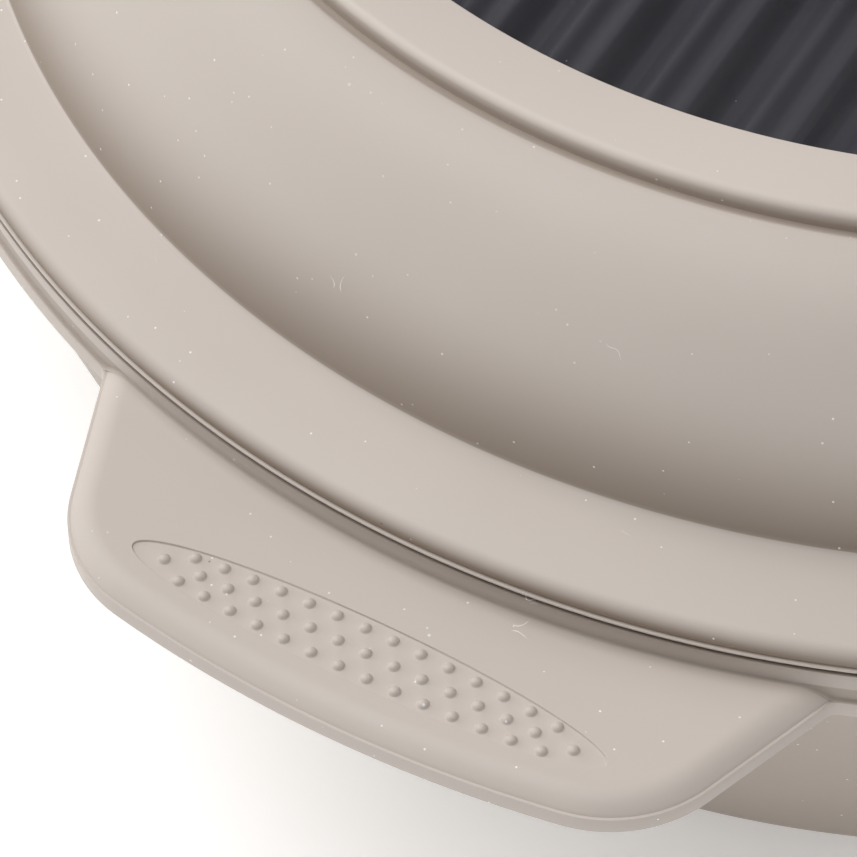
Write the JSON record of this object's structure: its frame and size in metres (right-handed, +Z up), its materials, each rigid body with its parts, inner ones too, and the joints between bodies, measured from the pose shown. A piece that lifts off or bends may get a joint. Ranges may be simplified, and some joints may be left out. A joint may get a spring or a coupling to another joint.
{
  "type": "hooded cat litter box",
  "caption": "Round hooded cat litter box: tray with grip tabs, collar hood with an open porch and ribbed entry mat, dome with swing flap and vented filter.",
  "frame": {"origin": "centre of the base, on the floor plane under the rubber feet", "axes": "+Z up; -Y is the front, where the cat walks in over the porch; +X is the right side seen from behind the box's door looking along +Y"},
  "size_m": [0.4744, 0.5282, 0.396],
  "materials": {
    "taupe_plastic": "fine satin moulded polypropylene, warm taupe",
    "smoke_plastic": "dark smoke grey, soft gloss",
    "smoke_clear": "smoke-tinted translucent, polished",
    "steel": "zinc-plated steel",
    "carbon_foam": "black open-cell carbon foam",
    "foot_rubber": "soft grey rubber"
  },
  "bodies": {
    "base": {"tray": "taupe_plastic", "hood_collar": "taupe_plastic", "hood_ring": "taupe_plastic", "hinge_pin_right": "steel", "hinge_pin_left": "steel", "clip_pin_right": "steel", "clip_pin_left": "steel", "tray_foot_1": "foot_rubber", "tray_foot_2": "foot_rubber", "tray_foot_3": "foot_rubber", "tray_foot_4": "foot_rubber"},
    "dome": {"dome_shell": "taupe_plastic", "door_panel": "taupe_plastic", "door_trim": "smoke_plastic", "door_screws": "steel", "sill_magnet": "steel", "filter_basket": "smoke_plastic", "carbon_filter": "carbon_foam", "filter_cover_pin": "steel"},
    "flap": {"flap_panel": "smoke_clear", "flap_top_bar": "smoke_plastic", "flap_rod": "steel", "flap_magnet": "steel"},
    "lock": {"flap_lock": "smoke_plastic"},
    "vent": {"filter_cover": "taupe_plastic"},
    "mat": {"entry_mat": "smoke_plastic"},
    "right_clip": {"clip_right": "smoke_plastic"},
    "left_clip": {"clip_left": "smoke_plastic"}
  },
  "joints": [
    {"name": "dome_hinge", "type": "hinge", "parent": "base", "child": "dome", "pos_m": [0, 0.184, 0.176], "axis": [-1, 0, 0], "range_deg": [0, 80]},
    {"name": "flap_swing", "type": "hinge", "parent": "dome", "child": "flap", "pos_m": [0, -0.0465, 0.334], "axis": [1, 0, 0], "range_deg": [-60, 60]},
    {"name": "lock_slide", "type": "slide", "parent": "dome", "child": "lock", "axis": [0, 0, 1], "range_m": [0, 0.012]},
    {"name": "vent_hinge", "type": "hinge", "parent": "dome", "child": "vent", "pos_m": [0, 0.10193, 0.35268], "axis": [-1, 0, 0], "range_deg": [0, 105]},
    {"name": "mat_lift", "type": "slide", "parent": "base", "child": "mat", "axis": [0, 0, 1], "range_m": [0, 0.08]},
    {"name": "right_clip_swing", "type": "hinge", "parent": "base", "child": "right_clip", "pos_m": [0.232, 0, 0.1105], "axis": [0, -1, 0], "range_deg": [0, 110]},
    {"name": "left_clip_swing", "type": "hinge", "parent": "base", "child": "left_clip", "pos_m": [-0.232, 0, 0.1105], "axis": [0, 1, 0], "range_deg": [0, 110]}
  ]
}
